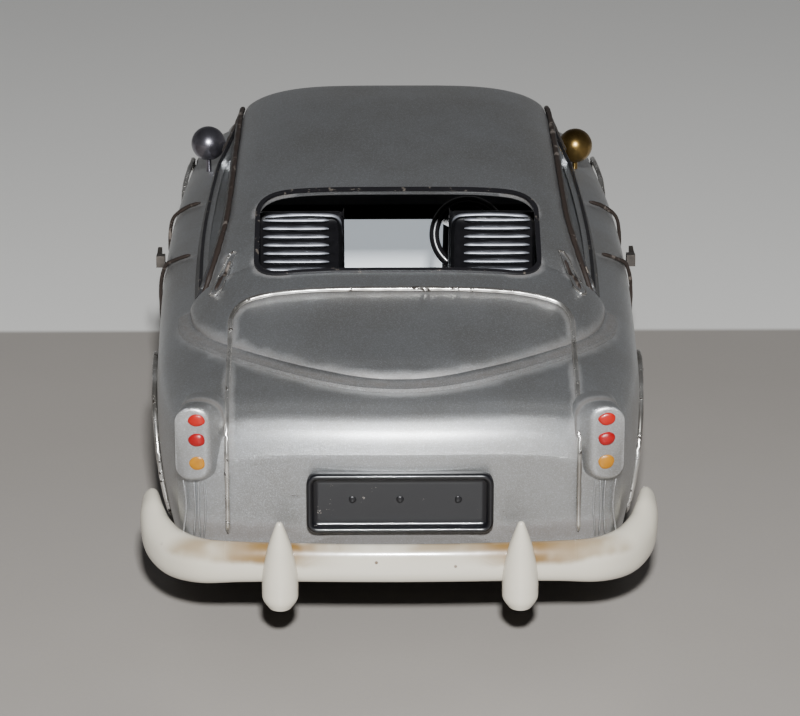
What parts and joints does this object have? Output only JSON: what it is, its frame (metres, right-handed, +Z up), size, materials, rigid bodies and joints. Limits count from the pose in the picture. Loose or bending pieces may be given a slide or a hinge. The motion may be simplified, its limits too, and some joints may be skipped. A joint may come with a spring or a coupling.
{
  "type": "collector model car",
  "caption": "Handmade sheet-metal collector's model of a silver 1960s fastback touring coupe with cream bumpers, on wheels that roll on fixed axles.",
  "frame": {"origin": "bottom centre of the bounding box, on the ground under the middle of the car", "axes": "+Y is the car's forward direction, +X its right side, +Z up"},
  "size_m": [0.1354, 0.3358, 0.0997],
  "materials": {
    "silver_paint": "silver enamel with fine metal flake over tinplate, brown-stained along its edges",
    "worn_wire": "silvered wire, worn bright, with dark chips",
    "dark_trim": "dark brown-black paint rubbed through at its edges",
    "black_enamel": "glossy black enamel with chipped edges",
    "cream_enamel": "thick glossy cream enamel with brown stains",
    "orange_lens": "glossy orange-red hand-painted lens",
    "red_lens": "glossy red hand-painted lens",
    "amber_lens": "glossy amber hand-painted lens",
    "headlamp_glass": "clear ribbed lens",
    "mirror_silver": "glossy silver-grey ball",
    "mirror_brass": "dulled brass ball",
    "base_steel": "dark grey sheet metal",
    "bare_steel": "plain steel",
    "cabin_enamel": "semi-gloss black enamel, rubbed bright along the ribs",
    "wheel_silver": "silver enamel with brown staining in its recesses",
    "tyre_rubber": "matte black moulded rubber"
  },
  "bodies": {
    "root": {"body_shell": "silver_paint", "roof_shell": "silver_paint", "boot_bead": "worn_wire", "bonnet_bead": "worn_wire", "bonnet_scoop": "silver_paint", "door_seam_left": "dark_trim", "door_seam_right": "dark_trim", "gutter_left": "dark_trim", "gutter_right": "dark_trim", "rear_window_frame": "black_enamel", "windscreen_frame": "black_enamel", "side_window_frame_left": "black_enamel", "side_window_frame_right": "black_enamel", "pillar_vent_left": "silver_paint", "pillar_vent_right": "silver_paint", "rear_bumper": "cream_enamel", "rear_overrider_left": "cream_enamel", "rear_overrider_right": "cream_enamel", "number_plate": "black_enamel", "tail_lamp_left": "silver_paint", "tail_lamp_right": "silver_paint", "tail_lens_upper": "orange_lens", "tail_lens_middle": "red_lens", "tail_lens_lower": "amber_lens", "arch_lip_rear_left": "worn_wire", "arch_lip_rear_right": "worn_wire", "arch_lip_front_left": "worn_wire", "arch_lip_front_right": "worn_wire", "mirror_left": "mirror_silver", "mirror_right": "mirror_brass", "door_handle_left": "dark_trim", "door_handle_right": "dark_trim", "front_bumper": "cream_enamel", "front_overriders": "cream_enamel", "grille_surround": "worn_wire", "grille_bars": "worn_wire", "headlamp_rims": "worn_wire", "headlamp_lenses": "headlamp_glass", "side_lamps": "amber_lens", "base_plate": "base_steel", "base_screws": "bare_steel", "fixing_blocks": "base_steel", "cabin_tub": "cabin_enamel", "seat_left": "cabin_enamel", "seat_right": "cabin_enamel", "dashboard": "black_enamel", "steering_column": "dark_trim", "steering_wheel": "black_enamel", "axle_front": "bare_steel", "axle_rear": "bare_steel", "hub_nuts": "wheel_silver"},
    "front_left_wheel": {"tyre_front_left": "tyre_rubber", "wheel_front_left": "wheel_silver"},
    "front_right_wheel": {"tyre_front_right": "tyre_rubber", "wheel_front_right": "wheel_silver"},
    "rear_left_wheel": {"tyre_rear_left": "tyre_rubber", "wheel_rear_left": "wheel_silver"},
    "rear_right_wheel": {"tyre_rear_right": "tyre_rubber", "wheel_rear_right": "wheel_silver"}
  },
  "joints": [
    {"name": "front_left_wheel_spin", "type": "hinge", "parent": "root", "child": "front_left_wheel", "pos_m": [-0.0555, 0.088, 0.0235], "axis": [1, 0, 0], "continuous": true},
    {"name": "front_right_wheel_spin", "type": "hinge", "parent": "root", "child": "front_right_wheel", "pos_m": [0.0555, 0.088, 0.0235], "axis": [1, 0, 0], "continuous": true},
    {"name": "rear_left_wheel_spin", "type": "hinge", "parent": "root", "child": "rear_left_wheel", "pos_m": [-0.0555, -0.082, 0.0235], "axis": [1, 0, 0], "continuous": true},
    {"name": "rear_right_wheel_spin", "type": "hinge", "parent": "root", "child": "rear_right_wheel", "pos_m": [0.0555, -0.082, 0.0235], "axis": [1, 0, 0], "continuous": true}
  ]
}
